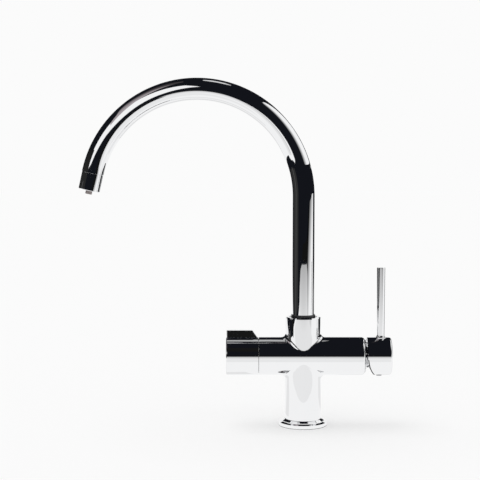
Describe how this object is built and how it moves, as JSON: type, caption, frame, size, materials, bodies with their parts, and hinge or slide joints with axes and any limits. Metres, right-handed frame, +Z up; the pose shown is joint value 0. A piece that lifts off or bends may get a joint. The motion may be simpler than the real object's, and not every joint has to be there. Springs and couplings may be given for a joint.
{
  "type": "three way filtered water tap",
  "caption": "Chrome kitchen mixer tap with a swan-neck spout, a pin lever for mixed water at one end of its barrel and a finned turning handle for filtered water at the other.",
  "frame": {"origin": "centre of the fixing stud's hole, on the plane of the worktop that the base ring stands on", "axes": "+Z up along the column, +X along the barrel towards the mixing lever, the spout points to -X"},
  "size_m": [0.3252, 0.05, 0.3624],
  "materials": {
    "body_chrome": "polished chrome plate on brass",
    "spout_chrome": "polished chrome plate on tube",
    "handle_chrome": "polished chrome plate on cast zinc",
    "brass": "machined",
    "zinc_lever": "cast and sintered",
    "steel": "stainless",
    "seal_rubber": "matt black rubber",
    "disc_ceramic": "lapped",
    "bearing_plastic": "natural acetal",
    "guide_plastic": "black acetal, moulded",
    "cartridge_plastic": "white glass filled plastic",
    "tube_plastic": "natural polyethylene",
    "aerator_plastic": "grey acetal",
    "outlet_plastic": "warm grey moulded",
    "plug_plastic": "plain grey plug"
  },
  "bodies": {
    "tap_body": {"body": "body_chrome", "base_ring": "body_chrome", "base_seal": "seal_rubber", "inlet_block": "brass", "spout_thrust_washer": "bearing_plastic", "spout_upper_bearing": "guide_plastic", "spout_stop_screw": "steel", "filter_valve_body": "brass", "filter_valve_oring": "seal_rubber", "filter_fixed_disc": "disc_ceramic", "filter_lip_seal": "seal_rubber", "filter_glide_ring": "bearing_plastic", "cartridge_housing": "cartridge_plastic", "cartridge_base_plate": "cartridge_plastic", "cartridge_port_seals": "seal_rubber", "mixer_fixed_disc": "disc_ceramic", "cartridge_nut_ring": "brass", "cartridge_shroud": "body_chrome"},
    "spout": {"spout_tube": "spout_chrome", "spout_swivel_end": "brass", "spout_seals": "seal_rubber", "filter_water_tube": "tube_plastic", "nozzle_sleeve": "spout_chrome", "aerator_seal": "seal_rubber", "aerator_insert": "aerator_plastic", "filter_outlet_tip": "outlet_plastic"},
    "filter_handle_body": {"filter_handle": "handle_chrome", "filter_handle_screw": "steel", "filter_spindle": "brass", "filter_spindle_seals": "seal_rubber", "filter_spindle_clip": "steel", "filter_moving_disc": "disc_ceramic"},
    "mixer_rotor": {"cartridge_rotor": "cartridge_plastic", "lever_pivot_pin": "steel"},
    "mixing_disc": {"mixer_moving_disc": "disc_ceramic", "disc_carrier": "cartridge_plastic"},
    "lever": {"lever_stem": "zinc_lever", "mixer_handle": "handle_chrome", "lever_rod": "handle_chrome", "mixer_handle_screw": "steel", "mixer_handle_plug": "plug_plastic"}
  },
  "joints": [
    {"name": "spout_swivel", "type": "hinge", "parent": "tap_body", "child": "spout", "pos_m": [0, 0, 0.1], "axis": [0, 0, 1], "continuous": true},
    {"name": "filter_handle_turn", "type": "hinge", "parent": "tap_body", "child": "filter_handle_body", "pos_m": [-0.0639, 0, 0.073], "axis": [1, 0, 0], "range_deg": [0, 90]},
    {"name": "mixer_turn", "type": "hinge", "parent": "tap_body", "child": "mixer_rotor", "pos_m": [0.056, 0, 0.073], "axis": [1, 0, 0], "range_deg": [-50, 50]},
    {"name": "lever_tilt", "type": "hinge", "parent": "mixer_rotor", "child": "lever", "pos_m": [0.056, 0, 0.073], "axis": [0, 1, 0], "range_deg": [0, 20]},
    {"name": "disc_slide", "type": "slide", "parent": "mixer_rotor", "child": "mixing_disc", "axis": [0, 0, 1], "range_m": [0, 0.0042]}
  ],
  "couplings": [
    {"joint": "disc_slide", "follows": "lever_tilt", "m_per_rad": 0.01176}
  ]
}
